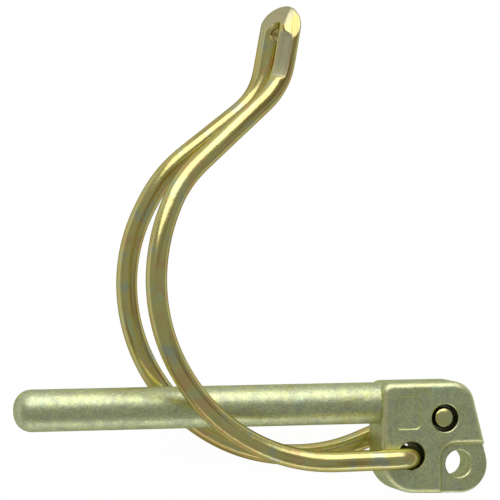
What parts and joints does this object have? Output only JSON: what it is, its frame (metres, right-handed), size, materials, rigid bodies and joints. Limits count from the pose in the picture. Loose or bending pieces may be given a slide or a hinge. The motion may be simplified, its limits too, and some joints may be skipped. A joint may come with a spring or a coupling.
{
  "type": "lynch pin",
  "caption": "Forged round pin with a flat drilled head and a sprung wire bail that swings over its tip to lock it in a tube.",
  "frame": {"origin": "on the shank's axis, where the shank meets the head", "axes": "+X along the shank from its tip to its head, +Y towards the bail's nose, +Z out of the head's front face; the pin lies flat on the bail's rear leg"},
  "size_m": [0.1163, 0.1177, 0.0228],
  "materials": {
    "forged_steel_yellow_zinc": "yellow chromate zinc plating, satin, over a forged surface",
    "spring_wire_yellow_zinc": "yellow chromate zinc plating, bright, over drawn spring wire"
  },
  "bodies": {
    "pin": {"pin_body": "forged_steel_yellow_zinc"},
    "bail": {"wire_bail": "spring_wire_yellow_zinc"}
  },
  "joints": [
    {"name": "bail_swing", "type": "hinge", "parent": "pin", "child": "bail", "pos_m": [0.01155, -0.00805, 0], "axis": [0, 0, 1], "range_deg": [-110, 30], "deforming": ["wire_bail"]}
  ]
}
